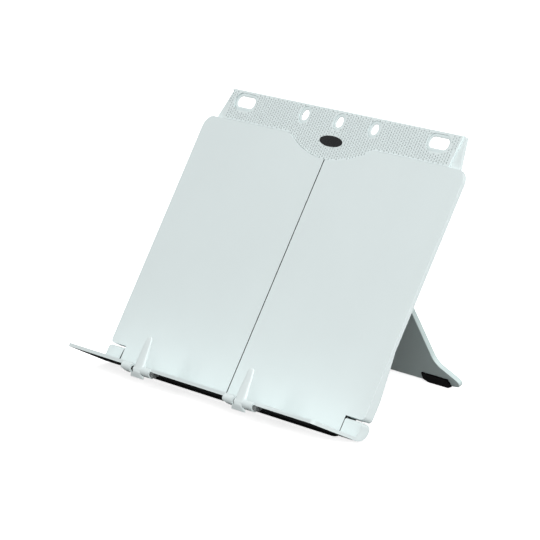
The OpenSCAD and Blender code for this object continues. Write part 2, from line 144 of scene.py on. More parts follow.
def smooth(mesh, sharp=SHARP):
    """Smooth shading, in which the edges past an angle stay sharp."""
    mesh.shade_smooth()
    mesh.set_sharp_from_angle(angle=sharp)
    return mesh


def along(points, height):
    """The value at a height, between listed points."""
    for (low, start), (high, end) in zip(points, points[1:]):
        if height <= high:
            return start + (end - start) * max(0.0, height - low) / (high - low)
    return points[-1][1]


# Materials

# Places of the dark and the light tone in the soft changes of tone
TONE_RAMP = (0.35, 0.65)


def node_of(material, kind, **sockets):
    """A new shader node with plain values on its sockets."""
    node = material.node_tree.nodes.new(kind)
    for name, value in sockets.items():
        node.inputs[name.replace("_", " ")].default_value = value
    return node


def plain_material(name, colour, roughness, **shader):
    """A node material with a Principled shader whose plain values sit on its own sockets."""
    material = bpy.data.materials.new(name)
    material.use_nodes = True
    surface = material.node_tree.nodes["Principled BSDF"]
    surface.inputs["Base Color"].default_value = (*colour, 1)
    surface.inputs["Roughness"].default_value = roughness
    for socket, value in shader.items():
        surface.inputs[socket.replace("_", " ")].default_value = value
    return material, surface


def vary_colour(material, surface, colour, spread, scale):
    """Soft changes of tone over the surface."""
    links = material.node_tree.links
    place = node_of(material, "ShaderNodeTexCoord")
    noise = node_of(material, "ShaderNodeTexNoise", Scale=scale, Detail=4.0, Roughness=0.55)
    ramp = node_of(material, "ShaderNodeValToRGB")
    dark, light = ramp.color_ramp.elements
    dark.position, light.position = TONE_RAMP
    dark.color = (*[c * (1 - spread) for c in colour], 1)
    light.color = (*[min(1, c * (1 + spread)) for c in colour], 1)
    links.new(place.outputs["Object"], noise.inputs["Vector"])
    links.new(noise.outputs["Fac"], ramp.inputs["Fac"])
    links.new(ramp.outputs["Color"], surface.inputs["Base Color"])
    return place


def grain(material, surface, place, scale, strength, distance, rough_low, rough_high):
    """Fine moulded grain in the bump and the roughness."""
    links = material.node_tree.links
    fine = node_of(material, "ShaderNodeTexNoise", Scale=scale, Detail=3.0, Roughness=0.6)
    bump = node_of(material, "ShaderNodeBump", Strength=strength, Distance=distance)
    rough = node_of(material, "ShaderNodeMapRange", To_Min=rough_low, To_Max=rough_high)
    links.new(place.outputs["Object"], fine.inputs["Vector"])
    links.new(fine.outputs["Fac"], bump.inputs["Height"])
    links.new(fine.outputs["Fac"], rough.inputs["Value"])
    links.new(rough.outputs["Result"], surface.inputs["Roughness"])
    links.new(bump.outputs["Normal"], surface.inputs["Normal"])


def moulded_plastic(name, colour, rough=0.5, shine=0.2):
    """Satin plastic with a fine grain."""
    material, surface = plain_material(name, colour, rough, Specular_IOR_Level=shine)
    place = vary_colour(material, surface, colour, spread=0.008, scale=14.0)
    grain(material, surface, place, scale=2600.0, strength=0.12, distance=0.00005,
          rough_low=rough - 0.06, rough_high=rough + 0.08)
    return material


def black_rubber(name, colour):
    """Matte rubber with a coarser grain."""
    material, surface = plain_material(name, colour, 0.8, Specular_IOR_Level=0.02)
    place = vary_colour(material, surface, colour, spread=0.25, scale=300.0)
    grain(material, surface, place, scale=3500.0, strength=0.35, distance=0.0001,
          rough_low=0.62, rough_high=0.85)
    return material


def steel(name, colour):
    """Drawn steel."""
    material, surface = plain_material(name, colour, 0.3, Metallic=1.0)
    place = vary_colour(material, surface, colour, spread=0.06, scale=600.0)
    grain(material, surface, place, scale=1800.0, strength=0.1, distance=0.00003,
          rough_low=0.24, rough_high=0.4)
    return material


def glossy_black(name, colour):
    """Smooth plastic, nearly without grain."""
    material, surface = plain_material(name, colour, 0.25, Specular_IOR_Level=0.1)
    place = vary_colour(material, surface, colour, spread=0.2, scale=120.0)
    grain(material, surface, place, scale=900.0, strength=0.05, distance=0.00003,
          rough_low=0.2, rough_high=0.34)
    return material


def mottled_steel(name, colour):
    """Riveted steel with bright and dark spots at random; the dark colour it is given is painted shade.
    """
    material, surface = plain_material(name, colour, 0.5, Metallic=0.4)
    place = vary_colour(material, surface, colour, spread=0.85, scale=900.0)
    grain(material, surface, place, scale=1800.0, strength=0.3, distance=0.0001,
          rough_low=0.4, rough_high=0.6)
    return material


PANEL_PLASTIC = moulded_plastic("panel_plastic", (0.70, 0.775, 0.775))
SHELL_PLASTIC = moulded_plastic("shell_plastic", (0.70, 0.775, 0.775))
HEADER_PLASTIC = moulded_plastic("header_plastic", (0.71, 0.785, 0.785))
RING_PLASTIC = moulded_plastic("ring_plastic", (0.68, 0.765, 0.765))
# Painted shade: the dashes are a darker copy of the header's plastic, for the shade of its texture
DASH_PLASTIC_PAINTED_SHADE = moulded_plastic("dash_plastic_painted_shade", (0.47, 0.52, 0.52))
LEDGE_PLASTIC = moulded_plastic("ledge_plastic", (0.70, 0.775, 0.775), rough=0.55, shine=0.05)
LEG_PLASTIC = moulded_plastic("leg_plastic", (0.64, 0.75, 0.74))
# Painted light: the fingers are a lighter copy of the panels' plastic, to make up for the light their
# fronts lack
FINGER_PLASTIC_PAINTED_LIGHT = moulded_plastic("finger_plastic", (0.75, 0.825, 0.825), rough=0.55, shine=0.05)
# Painted shade: a near-black copy of the plastic for the sides of narrow gaps and for the panels' faces
# below the ledge
GAP_AND_HEM_PAINTED_SHADE = moulded_plastic("gap_and_hem_painted_shade", (0.025, 0.028, 0.028), rough=0.7, shine=0.0)
# Painted shade: a darker copy of the ledge's plastic for its underside and for the mouths of the finger
# pins' bores
LEDGE_PAINTED_SHADE = moulded_plastic("ledge_painted_shade", (0.26, 0.285, 0.285), rough=0.7, shine=0.0)
# Painted shade: the pins' riveted ends are darkened for the shade they sit in under the ledge
PIN_END = mottled_steel("pin_end_steel_painted_shade", (0.10, 0.11, 0.11))
RUBBER = black_rubber("foot_rubber", (0.002, 0.002, 0.0021))
STEEL = steel("pin_steel", (0.62, 0.63, 0.65))
# Painted shade: the finger pins are near black, so that the mouths of their bores look dark
PIN_STEEL_PAINTED_SHADE = steel("pin_steel_painted_shade", (0.02, 0.02, 0.02))
BADGE = glossy_black("badge_plastic", (0.008, 0.009, 0.010))


# Pieces


def wear(obj, material):
    """Gives an object one material."""
    obj.data.materials.clear()
    obj.data.materials.append(material)


def new_piece(name, mesh, material, body):
    """A piece of the scene that moves with a body of the CAD."""
    piece = bpy.data.objects.new(name, mesh)
    bpy.context.scene.collection.objects.link(piece)
    wear(piece, material)
    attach(piece, body)
    return piece


def dressed(name, material):
    """Keeps a CAD node and gives it a better material."""
    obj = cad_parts[name]
    for place in obj.material_slots:
        place.material = material


def rounded(piece, width, segments):
    """Rounds a piece's edges."""
    bevel = piece.modifiers.new("rounded_edges", "BEVEL")
    bevel.width = width
    bevel.segments = segments
    return bevel


# The tab and the header, moved to where the photograph has them

CAD_HOLE_Z = 0.1974
CAD_HEADER_SET = 0.0011
# How far out and up from a slot's middle its own points lie
SLOT_REACH = 0.0132
SLOT_RISE = 0.0066
HOLE_PLAY = 0.0002
# How much larger the holes, the slots' length and the slots' width are than in the CAD
HEADER_GROWTH = (1.03, 0.981, 1.0)
TAB_GROWTH = (1.3, 1.11, 1.28)
# The share of the header's half width past which its points belong to its ends
HEADER_ENDS = 0.9
# Heights in the header and the tab, and the same heights as they are here
TAB_HEIGHTS = ((0.1840, 0.1840), (0.1911, 0.1923), (0.2037, 0.2049), (0.2054, 0.2063),
               (0.2060, 0.2069))
# Distances from the middle, and how much further out the tab's top is there
TAB_WIDER = 0.0023
TAB_WIDTHS = ((0.0, 0.0), (0.1245, 0.0), (0.1290, TAB_WIDER), (0.1600, TAB_WIDER))
# Height above the panels at which the tab has all of its extra width
TAB_TALL = 0.0214


def grown_openings(work, hole_share, length_share, width_share):
    """Scales the openings of the header or the tab about their own middles."""
    for vert in work.verts:
        x, z = abs(vert.co.x), vert.co.z - CAD_HOLE_Z
        nearest = HOLE_PITCH * round(x / HOLE_PITCH)
        if nearest < 2 * HOLE_PITCH and math.hypot(x - nearest, z) < HOLE_R + HOLE_PLAY:
            x, z = nearest + (x - nearest) * hole_share, z * hole_share
        elif abs(x - SLOT_X) < SLOT_REACH and abs(z) < SLOT_RISE:
            x, z = SLOT_X + (x - SLOT_X) * length_share, z * width_share
        else:
            continue
        vert.co.x, vert.co.z = math.copysign(x, vert.co.x) + HEADER_X, z + CAD_HOLE_Z


def fitted_to_photo(work):
    """Moves the tab's and the header's edges and openings to where the photograph has them."""
    for vert in work.verts:
        x, y, z = vert.co
        if z > PANEL_H:
            x += math.copysign(along(TAB_WIDTHS, abs(x)) * (z - PANEL_H) / TAB_TALL, x)
            z = along(TAB_HEIGHTS, z)
        vert.co = (x, y, z)


def header_fit(work):
    """Moves the header plate's openings, edges, ends and front."""
    grown_openings(work, *HEADER_GROWTH)
    fitted_to_photo(work)
    for vert in work.verts:
        if vert.co.y < CAD_HEADER_SET:
            vert.co.y = HEADER_SET
        if abs(vert.co.x) > HEADER_ENDS * HEADER_HALF:
            vert.co.x += HEADER_X


def tab_fit(work):
    """Moves the tab's openings and edges."""
    grown_openings(work, *TAB_GROWTH)
    fitted_to_photo(work)


# CAD shapes with rounded edges and dark gaps

# Edges past the first angle are rounded, and those past the second one stay sharp in the shading
MOULD_ANGLE = math.radians(32)
MOULD_SHARP = math.radians(60)
MOULD_SEGMENTS = 2
FULL_WEIGHT = 100
# Edges this near the middle are rounded less, by this share
SEAM_REACH = 0.001
SEAM_SHARE = 0.3
# Distances from the middle of the sides of narrow gaps in the CAD, and the same here, with painted shade
GAPS = ((0.00025, 0.00045), (0.1316, 0.1307), (0.1320, 0.1315))
GAP_NEAR = 0.00012
# A face whose normal has more than this along x looks sideways
SIDEWAYS = 0.99
# The seam lies this far to the right of the middle
SEAM_X = 0.0008
# Below this height in the panels' frame their faces get painted shade
HEM_Z = -0.002


def darken_gaps(work, dark):
    """Widens the narrow gaps to what the photograph shows and gives their sides, and the faces that dark
    picks, painted shade.
    """
    moves = {}
    for face in work.faces:
        middle = face.calc_center_median()
        face.material_index = 1 if dark and dark(face) else 0
        for place, here in GAPS:
            if abs(face.normal.x) > SIDEWAYS and abs(abs(middle.x) - place) < GAP_NEAR:
                face.material_index = 1
                shift = SEAM_X if here < SEAM_REACH else 0.0
                moves.update((vert, math.copysign(here, vert.co.x) + shift) for vert in face.verts)
    for vert, x in moves.items():
        vert.co.x = x


def under_hem(face):
    """Whether a face is below the panels' set-back, which the photograph shows dark and which gets
    painted shade.
    """
    return (panel_matrix().inverted() @ face.calc_center_median()).z < HEM_Z


def weigh_edges(work):
    """Marks the edges that the mould rounds, and the seam's for less."""
    weight = work.edges.layers.float.new("bevel_weight_edge")
    for edge in work.edges:
        if edge.is_manifold and edge.calc_face_angle() > MOULD_ANGLE:
            at_seam = all(abs(vert.co.x) < SEAM_REACH for vert in edge.verts)
            edge[weight] = SEAM_SHARE if at_seam else 1.0


def moulded(node, mesh, material, body, slot, width, fit=None, dark=None, shade=GAP_AND_HEM_PAINTED_SHADE):
    """Puts a mesh in the place of a CAD node, with its edges rounded as a mould rounds them."""
    work = cleaned(mesh)
    if fit:
        work.transform(panel_matrix().inverted())
        fit(work)
        work.transform(panel_matrix())
        work.normal_update()
    darken_gaps(work, dark)
    weigh_edges(work)
    piece = new_piece(node + "_moulded", mesh, material, body)
    piece.data.materials.append(shade)
    work.to_mesh(mesh)
    work.free()
    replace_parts(piece, node)
    rounded(piece, width, MOULD_SEGMENTS).limit_method = "WEIGHT"
    smooth(mesh, MOULD_SHARP)
    weighted = piece.modifiers.new("flat_faces_first", "WEIGHTED_NORMAL")
    weighted.keep_sharp = True
    weighted.weight = FULL_WEIGHT


def softened(node, *rest, **more):
    """A CAD node's own shape, moulded."""
    moulded(node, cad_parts[node].data.copy(), *rest, **more)


for hand in SIDES.values():
    softened("front_panel_" + hand, PANEL_PLASTIC, "stand", "panel_plastic", width=0.0005,
             dark=under_hem)
softened("back_shell", SHELL_PLASTIC, "stand", "shell_plastic", width=0.0003, fit=tab_fit)
softened("header_plate", HEADER_PLASTIC, "stand", "header_plastic", width=0.00025, fit=header_fit)
softened("leg", LEG_PLASTIC, "leg", "leg_plastic", width=0.0004)
softened("front_foot_strip", RUBBER, "stand", "foot_rubber", width=0.0004)
for hand in SIDES.values():
    softened("leg_foot_" + hand, RUBBER, "leg", "foot_rubber", width=0.0003)
    dressed("ledge_pin_" + hand, STEEL)
    dressed("finger_pin_" + hand, PIN_STEEL_PAINTED_SHADE)
dressed("leg_hinge_pin", STEEL)
dressed("panel_screws", STEEL)


# Solids that are joined and cut before they become a piece


def solid(work, matrix=None):
    """A scratch object from a closed form."""
    obj = bpy.data.objects.new("scratch", closed_mesh(work, "scratch", matrix))
    bpy.context.scene.collection.objects.link(obj)
    return obj


def prism(outline, low, high, turn=None):
    """An outline drawn in x and y, carried from one height to another and then turned."""
    work = bmesh.new()
    loft(work, [[work.verts.new((x, y, height)) for x, y in outline] for height in (low, high)])
    if turn is not None:
        work.transform(turn)
    return work


def rod(start, end, radius, y=0.0, z=0.0, steps=48):
    """A rod along x."""
    outline = [(radius * math.cos(2 * math.pi * i / steps), radius * math.sin(2 * math.pi * i / steps))
               for i in range(steps)]
    turn = Matrix.Translation((0, y, z)) @ Matrix.Rotation(math.pi / 2, 4, "Y")
    return prism(outline, start, end, turn)


def along_x(outline, start, end):
    """An outline drawn in y and z, carried along x."""
    swing = Matrix(((0, 0, 1, 0), (1, 0, 0, 0), (0, 1, 0, 0), (0, 0, 0, 1)))
    return prism(outline, start, end, swing)


def along_y(outline, start, end):
    """An outline drawn in x and z, carried along y."""
    swing = Matrix(((1, 0, 0, 0), (0, 0, 1, 0), (0, 1, 0, 0), (0, 0, 0, 1)))
    return prism(outline, start, end, swing)


def combined(base, steps):
    """Joins scratch objects to the first one or cuts them from it, and gives one mesh."""
    for kind, other in steps:
        step = base.modifiers.new("step", "BOOLEAN")
        step.operation = kind
        step.solver = "EXACT"
        step.object = other
    bpy.context.view_layer.update()
    seen = base.evaluated_get(bpy.context.evaluated_depsgraph_get())
    mesh = bpy.data.meshes.new_from_object(seen)
    for obj in [base] + [other for kind, other in steps]:
        bpy.data.objects.remove(obj)
    return mesh


# Ledge, with the lugs of both page fingers as the photograph has them

# The ledge hangs this much lower than square to the panels, from its pivot
SAG = math.radians(3)
PIVOT_Y = 0.0040
PIVOT_Z = 0.0044
# The ends of the CAD ledge are kept from here on, and the plate between them laps over the cut
LEDGE_CUT = 0.100
LEDGE_LAP = 0.0005
LEDGE_IN = 0.0050
LEDGE_OUT = 0.0394
LEDGE_TOP = -0.0066
LEDGE_UNDER = -0.0090
LEDGE_EDGE = 0.0003
NOTCH_DEPTH = 0.0124
NOTCH_HALF = 0.0083
# The finger pins' axis, out from the ledge's pivot and down
AXIS_OUT = 0.0374
AXIS_DOWN = 0.0099
LUG_R = 0.0033
LUG_LOW = -AXIS_DOWN - LUG_R
GUSSET_IN = 0.0305
# The rising underside of each left lug, and the box that cuts it
TAPER = 0.0053
TAPER_RISE = 0.00145
TAPER_FAR = 0.001
TAPER_DEEP = 0.002
TAPER_SPAN = (-0.045, -0.028)
PIN_END_R = 0.0023
PIN_END_L = 0.0036
PIN_END_EDGE = 0.0005
FINGER_AT = {-1: -0.0562, 1: 0.0650}
# Ends of the left and the right lug of each finger
LUGS = {-1: ((-0.0750, -0.0643), (-0.0508, -0.0412)), 1: ((0.0477, 0.0585), (0.0706, 0.0808))}
BORES = {-1: (-0.0752, -0.0470), 1: (0.0475, 0.0756)}
BORE_STEPS = 24
# The wider mouth of the pin's bore in the end of the left lug
MOUTH_R = 0.0019
MOUTH_DEEP = 0.0012
MOUTH_STEPS = 32
MOUTH_PLAY = 1.02
# A face this near to the underside belongs to it, if it looks down
FACE_NEAR = 0.0001
DOWNWARD = 0.999


def ledge_matrix():
    """From the ledge's frame, at its pivot, to the row frame."""
    return panel_matrix(0, PIVOT_Y, PIVOT_Z) @ Matrix.Rotation(SAG, 4, "X")


def ledge_end(side):
    """The outer end of the CAD ledge, with its ear."""
    work = cleaned(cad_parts["ledge"].data)
    everything = work.verts[:] + work.edges[:] + work.faces[:]
    bmesh.ops.bisect_plane(work, geom=everything, plane_co=(side * LEDGE_CUT, 0, 0),
                           plane_no=(side, 0, 0), clear_inner=True)
    bmesh.ops.holes_fill(work, edges=[edge for edge in work.edges if edge.is_boundary])
    return solid(work)


def notch(side):
    """The left and the right end of a finger's notch in the ledge."""
    return FINGER_AT[side] - NOTCH_HALF, FINGER_AT[side] + NOTCH_HALF


def ledge_middle():
    """The plate between the ends, with a notch for each finger."""
    reach = LEDGE_CUT + LEDGE_LAP
    depth = NOTCH_DEPTH - LEDGE_OUT
    outline = [(reach, -LEDGE_IN), (-reach, -LEDGE_IN), (-reach, -LEDGE_OUT)]
    for side in SIDES:
        left, right = notch(side)
        outline += [(left, -LEDGE_OUT), (left, depth), (right, depth), (right, -LEDGE_OUT)]
    outline.append((reach, -LEDGE_OUT))
    return solid(prism(outline, LEDGE_UNDER, LEDGE_TOP), ledge_matrix())


def axis_rod(start, end, radius, steps=48):
    """A rod on the finger pins' axis."""
    return rod(start, end, radius, -AXIS_OUT, -AXIS_DOWN, steps)


def lug_solids(start, end, wall_start, wall_end):
    """A lug's barrel, and the gusset that carries it under the ledge."""
    inside = (LEDGE_TOP + LEDGE_UNDER) / 2
    gusset = [(-AXIS_OUT, LUG_LOW), (-GUSSET_IN, LEDGE_UNDER + HAIR), (-GUSSET_IN, inside),
              (-AXIS_OUT, inside)]
    return [solid(axis_rod(start, end, LUG_R), ledge_matrix()),
            solid(along_x(gusset, wall_start, wall_end), ledge_matrix())]


def taper_cut(start):
    """What the rising underside of a left lug leaves away."""
    high = LUG_LOW + TAPER_RISE * (1 + TAPER_FAR / TAPER)
    outline = [(start + TAPER, LUG_LOW - 2 * HAIR), (start - TAPER_FAR, high),
               (start - TAPER_FAR, LUG_LOW - TAPER_DEEP), (start + TAPER, LUG_LOW - TAPER_DEEP)]
    return solid(along_y(outline, *TAPER_SPAN), ledge_matrix())


def ledge_mesh():
    """The ledge with its ends, lugs, bores and the bores' wider mouths."""
    steps = [("UNION", ledge_end(side)) for side in SIDES]
    for side in SIDES:
        (far, near), (start, end) = LUGS[side]
        left, right = notch(side)
        steps += [("UNION", part) for part in lug_solids(far, near, far, min(near, left))]
        steps += [("UNION", part) for part in lug_solids(start, end, max(start, right), end)]
        steps.append(("DIFFERENCE", taper_cut(far)))
        bore = axis_rod(*BORES[side], PIN_R, BORE_STEPS)
        steps.append(("DIFFERENCE", solid(bore, ledge_matrix())))
        mouth = axis_rod(near - MOUTH_DEEP, near + FACE_NEAR, MOUTH_R, MOUTH_STEPS)
        steps.append(("DIFFERENCE", solid(mouth, ledge_matrix())))
    return combined(ledge_middle(), steps)


def ledge_dark(face):
    """Whether a face of the ledge is its underside or lies in the mouth of a pin's bore, which both get
    painted shade.
    """
    place = ledge_matrix().inverted() @ face.calc_center_median()
    turned = ledge_matrix().to_3x3().inverted() @ face.normal
    if turned.z < -DOWNWARD and place.z < LEDGE_UNDER + FACE_NEAR:
        return True
    from_axis = math.hypot(place.y + AXIS_OUT, place.z + AXIS_DOWN)
    near = LUGS[-1 if place.x < 0 else 1][0][1]
    in_mouth = near - MOUTH_PLAY * MOUTH_DEEP < place.x < near - 2 * HAIR
    return in_mouth and from_axis < MOUTH_PLAY * MOUTH_R


def pin_end(side):
    """The riveted end of a finger's pin, which stands out of the right lug."""
    start = LUGS[side][1][1]
    work = axis_rod(start, start + PIN_END_L, PIN_END_R, steps=32)
    mesh = smooth(closed_mesh(work, "pin_end", ledge_matrix()))
    piece = new_piece("finger_pin_end_" + SIDES[side], mesh, PIN_END, "ledge")
    rounded(piece, PIN_END_EDGE, segments=3)


moulded("ledge", ledge_mesh(), LEDGE_PLASTIC, "ledge", "ledge_plastic", width=LEDGE_EDGE,
        dark=ledge_dark, shade=LEDGE_PAINTED_SHADE)
for side in SIDES:
    pin_end(side)


# Page fingers, each a smooth blade that widens into a thumb tab below its hub

# The fingers' axis and height
FINGER_Y = PIVOT_Y - AXIS_OUT * math.cos(SAG) + AXIS_DOWN * math.sin(SAG)
FINGER_Z = PIVOT_Z - AXIS_OUT * math.sin(SAG) - AXIS_DOWN * math.cos(SAG)
FINGER_H = 0.0238
BLADE_TIP = 0.0030
BLADE_LOW = 0.0050
TIP_MIDDLE = FINGER_H - BLADE_TIP
TIP_FLAT = 0.0001
HUB_HALF = 0.0049
HUB_R = 0.0026
HUB_LOW = -0.001
TAB_HALF = 0.0079
TAB_LOW = -0.0054
TAB_CORNER = 0.0009
RING = 48
CORNER_STEPS = 4
TAB_STEPS = 10
BLADE_STEPS = 10
BLADE_STEP = 0.0022
TIP_STEPS = 10
# How square the section's sides, front and back are: a lower power is squarer
SIDE_POWER = 0.6
FRONT_POWER = 0.42
BACK_POWER = 0.5
# Share of the way from the front to the back at which the section is widest
MIDDLE_SHARE = 0.6
# Half widths of the tab at some heights below the hub
TAB_SIDES = ((-0.0045, TAB_HALF), (-0.0040, 0.0076), (-0.0036, 0.0070), (-0.0033, 0.0064),
             (-0.0029, 0.0058), (-0.0024, 0.0053), (-0.0018, 0.0050), (HUB_LOW, HUB_HALF))
# Depths of the finger's front and back at some heights, from its axis
FINGER_FRONT = ((TAB_LOW, -0.0002), (-0.0046, -0.0007), (-0.0034, -0.0016), (-0.002, -0.0024),
                (0.0, -0.0026), (0.004, -0.0026), (0.012, -0.0028), (0.0205, -0.0031),
                (0.0228, -0.0030), (FINGER_H, -0.0026))
FINGER_BACK = ((TAB_LOW, 0.0006), (-0.003, 0.0005), (HUB_LOW, 0.0005), (0.0025, 0.0001),
               (0.0060, -0.0004), (0.0215, -0.0017), (0.0232, -0.0020), (FINGER_H, -0.0023))


def finger_half(height):
    """Half the finger's width at a height above its axis."""
    if height > TIP_MIDDLE:
        return math.sqrt(max(TIP_FLAT ** 2, BLADE_TIP ** 2 - (height - TIP_MIDDLE) ** 2))
    if height > LUG_R:
        return BLADE_LOW + (BLADE_TIP - BLADE_LOW) * (height - LUG_R) / (TIP_MIDDLE - LUG_R)
    if height > HUB_LOW:
        return HUB_HALF + (BLADE_LOW - HUB_HALF) * max(0.0, height) / LUG_R
    corner = max(0.0, TAB_LOW + TAB_CORNER - height)
    rounding = TAB_CORNER - math.sqrt(max(0.0, TAB_CORNER ** 2 - corner ** 2))
    return along(TAB_SIDES, height) - rounding


def finger_section(height):
    """Points round the finger at one height: a softly rounded front and a flatter back."""
    half = max(HAIR, finger_half(height))
    front, back = along(FINGER_FRONT, height), along(FINGER_BACK, height)
    middle = front + MIDDLE_SHARE * (back - front)
    points = []
    for i in range(RING):
        turn = 2 * math.pi * i / RING
        across, depth = math.cos(turn), math.sin(turn)
        x = half * math.copysign(abs(across) ** SIDE_POWER, across)
        reach, power = (front - middle, FRONT_POWER) if depth < 0 else (back - middle, BACK_POWER)
        points.append((x, middle + reach * abs(depth) ** power, height))
    return points


def finger_heights():
    """Heights of the sections, closer together where the outline turns."""
    corner = [TAB_LOW + TAB_CORNER * (1 - math.cos(math.pi / 2 * i / CORNER_STEPS))
              for i in range(CORNER_STEPS)]
    tab_rise = HUB_LOW - TAB_LOW - TAB_CORNER
    tab = [TAB_LOW + TAB_CORNER + tab_rise * i / TAB_STEPS for i in range(TAB_STEPS)]
    blade = [HUB_LOW + BLADE_STEP * i for i in range(BLADE_STEPS)]
    tip = [TIP_MIDDLE + (BLADE_TIP - HAIR) * math.sin(math.pi / 2 * i / TIP_STEPS)
           for i in range(TIP_STEPS + 1)]
    return corner + tab + blade + tip


def page_finger(side):
    """One finger with its hub and the bore for its pin."""
    node = "page_finger_" + SIDES[side]
    place = panel_matrix(FINGER_AT[side], FINGER_Y, FINGER_Z)
    work = bmesh.new()
    loft(work, [[work.verts.new(point) for point in finger_section(height)]
                for height in finger_heights()])
    hub = solid(rod(-HUB_HALF, HUB_HALF, HUB_R), place)
    bore = solid(rod(-TAB_HALF, TAB_HALF, PIN_R, steps=BORE_STEPS), place)
    mesh = smooth(combined(solid(work, place), [("UNION", hub), ("DIFFERENCE", bore)]))
    mesh.name = node + "_smooth"
    piece = new_piece(node + "_smooth", mesh, FINGER_PLASTIC_PAINTED_LIGHT, SIDES[side] + "_finger")
    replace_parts(piece, node)


for side in SIDES:
    page_finger(side)


# Blank oval, a low dome inside a raised rim

OVAL_BACK = 0.0007
OVAL_STEPS = 96
# Rings with a share above this are the rim's, which is as wide all round
OVAL_RIM = 0.85
# Share of the oval's size and depth behind the panels' face, from the back to the dome's top
OVAL_RINGS = ((1.0, OVAL_BACK), (1.0, 0.0006), (0.985, 0.00028), (0.96, 0.0002), (0.93, 0.0002),
              (0.905, 0.00032), (0.8, 0.00031), (0.55, 0.00027), (0.25, 0.00024))


def oval_ring(work, share, depth):
    """A ring of the oval with a share of its size, at a depth."""
    inset = (1 - share) * OVAL_RISE
    wide, high = OVAL_HALF - inset, OVAL_RISE - inset
    if share <= OVAL_RIM:
        wide, high = OVAL_HALF * share, OVAL_RISE * share
    turns = [2 * math.pi * i / OVAL_STEPS for i in range(OVAL_STEPS)]
    return [work.verts.new((wide * math.cos(turn), depth, OVAL_Z + high * math.sin(turn)))
            for turn in turns]


def oval_badge():
    """The bare oval, which stands in for the CAD's flat one."""
    work = bmesh.new()
    loft(work, [oval_ring(work, share, depth) for share, depth in OVAL_RINGS])
    mesh = smooth(closed_mesh(work, "oval_domed", panel_matrix(HEADER_X)))
    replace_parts(new_piece("oval_domed", mesh, BADGE, "stand"), "oval_badge")


oval_badge()


# Raised dashes over the header plate, in staggered rows, darkened with painted shade

DASH_PITCH = 0.0027
DASH_ROW = 0.00195
DASH_STAGGER = 0.5
DASH_FIRST = 0.6
# Half of a dash's width and length, and its height
DASH_HALF = 0.0005
DASH_LONG = 0.0007
DASH_HIGH = 0.0005
DASH_CLEAR = 0.0009
DASH_STEPS = 10
# Share of a dash's size and height above the header's front, from its foot to its top
DASH_RINGS = ((1.0, -2 * HAIR), (0.86, 0.6 * DASH_HIGH), (0.5, DASH_HIGH))
# The rows reach this far below the panels' top, past the arc's lowest point
ROWS_BELOW = 0.02


def in_stadium(x, z, centre_x, length, width):
    """Whether a place lies in an oblong with round ends, at the height of the openings."""
    reach = max(0.0, abs(x - centre_x) - (length - width) / 2)
    return math.hypot(reach, z - HOLE_Z) < width / 2


def dash_fits(x, z):
    """Whether a dash at this place lies on the header plate, clear of its edges and openings."""
    end = HEADER_HALF + TAB_WIDER * (z - PANEL_H) / TAB_TALL
    if abs(x) > end - 2 * DASH_CLEAR or z > HEADER_TOP - DASH_CLEAR:
        return False
    low = PANEL_H
    if abs(x) < ARC_HALF:
        low = ARC_Z - math.sqrt(ARC_R ** 2 - x * x)
    if z - DASH_LONG < low:
        return False
    if any(math.hypot(x - place * HOLE_PITCH, z - HOLE_Z) < HOLE_R + DASH_CLEAR for place in (-1, 0, 1)):
        return False
    length, width = SLOT_L + 2 * DASH_CLEAR, SLOT_W + 2 * DASH_CLEAR
    if any(in_stadium(x, z, side * SLOT_X, length, width) for side in SIDES):
        return False
    wide, high = OVAL_HALF + DASH_CLEAR, OVAL_RISE + DASH_CLEAR
    return (x / wide) ** 2 + ((z - OVAL_Z) / high) ** 2 > 1


def dash_ring(work, x, z, share, lift):
    """A ring round a dash with a share of its size, lifted from the header's front."""
    wide, high = DASH_HALF * share, DASH_LONG - DASH_HALF * (1 - share)
    ring = []
    for i in range(DASH_STEPS):
        turn = 2 * math.pi * (i + 0.5) / DASH_STEPS
        across, up = math.cos(turn), math.sin(turn)
        rise = math.copysign(high - wide, up) + wide * up
        ring.append(work.verts.new((x + wide * across, HEADER_SET - lift, z + rise)))
    return ring


def header_dashes():
    """All dashes that fit on the header plate, in one piece."""
    work = bmesh.new()
    columns = int(HEADER_HALF / DASH_PITCH)
    rows = int((HEADER_TOP - PANEL_H + ROWS_BELOW) / DASH_ROW)
    for column in range(-columns, columns + 1):
        for row in range(rows):
            x = column * DASH_PITCH
            z = HEADER_TOP - DASH_ROW * (row + DASH_STAGGER * (column % 2) + DASH_FIRST)
            if dash_fits(x, z):
                loft(work, [dash_ring(work, x, z, share, lift) for share, lift in DASH_RINGS])
    mesh = closed_mesh(work, "header_dashes", panel_matrix(HEADER_X))
    mesh.shade_smooth()
    new_piece("header_dashes", mesh, DASH_PLASTIC_PAINTED_SHADE, "stand")


header_dashes()


# Smooth rims round the openings, a little behind the header's front

RIM_STEPS = 48
RIM_WIDE = 0.0024
RIM_FRONT = 0.0011
RIM_BACK = 0.0016
RIM_EDGE = 0.0001
RIM_PLAY = 0.00005
TAB_FRONT = 0.0020
LIP = 0.0052
LIP_EDGE = 0.00015


def rim_outline(centre_x, straight, radius):
    """Points round an opening, which is oblong where it has a straight part."""
    points = []
    for i in range(RIM_STEPS):
        turn = 2 * math.pi * (i + 0.5) / RIM_STEPS
        shift = math.copysign(straight / 2, math.cos(turn))
        points.append((centre_x + shift + radius * math.cos(turn), HOLE_Z + radius * math.sin(turn)))
    return points


